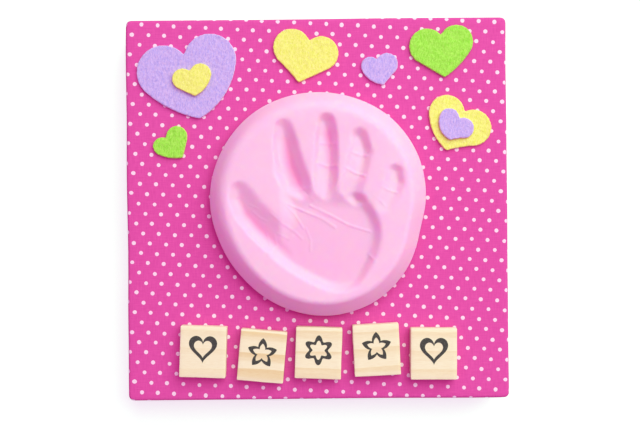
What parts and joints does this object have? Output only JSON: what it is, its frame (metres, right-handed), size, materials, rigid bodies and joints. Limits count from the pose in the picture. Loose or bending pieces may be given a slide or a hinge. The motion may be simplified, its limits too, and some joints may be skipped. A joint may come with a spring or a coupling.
{
  "type": "baby handprint frame",
  "caption": "Small square stretched canvas covered in polka-dot cotton, carrying a clay handprint disc, felt hearts and a row of wooden tiles.",
  "frame": {"origin": "centre of the back, on the surface that the frame lies on", "axes": "+X to the right of the picture, +Y up the picture, +Z out of the front, towards the viewer"},
  "size_m": [0.15, 0.15, 0.0289],
  "materials": {
    "dotted_cotton": "plain-weave cotton, hot pink with small white dots",
    "canvas_cloth": "primed cotton canvas, raw at the back",
    "stretcher_pine": "planed softwood, unfinished",
    "tile_pine": "pale sanded pine with a printed black sign",
    "pink_clay": "matt air-dried clay, smooth, pale pink",
    "felt_lilac": "craft felt",
    "felt_yellow": "craft felt",
    "felt_green": "craft felt",
    "staple_steel": "zinc-coated wire",
    "adhesive_pad": "thin double-sided pad"
  },
  "bodies": {
    "root": {"stretcher_bar_bottom": "stretcher_pine", "stretcher_bar_left": "stretcher_pine", "stretcher_bar_right": "stretcher_pine", "stretcher_bar_top": "stretcher_pine", "corner_staples": "staple_steel", "canvas": "canvas_cloth", "canvas_staples": "staple_steel", "fabric_cover": "dotted_cotton", "cover_staples": "staple_steel", "clay_disc": "pink_clay", "disc_adhesive_pads": "adhesive_pad", "tile_adhesive_pads": "adhesive_pad", "heart_lilac_large": "felt_lilac", "heart_yellow_inner": "felt_yellow", "heart_yellow_left": "felt_yellow", "heart_lilac_small": "felt_lilac", "heart_green_large": "felt_green", "heart_yellow_right": "felt_yellow", "heart_lilac_inner": "felt_lilac", "heart_green_small": "felt_green", "wooden_tile_1": "tile_pine", "wooden_tile_2": "tile_pine", "wooden_tile_3": "tile_pine", "wooden_tile_4": "tile_pine", "wooden_tile_5": "tile_pine"}
  },
  "joints": []
}
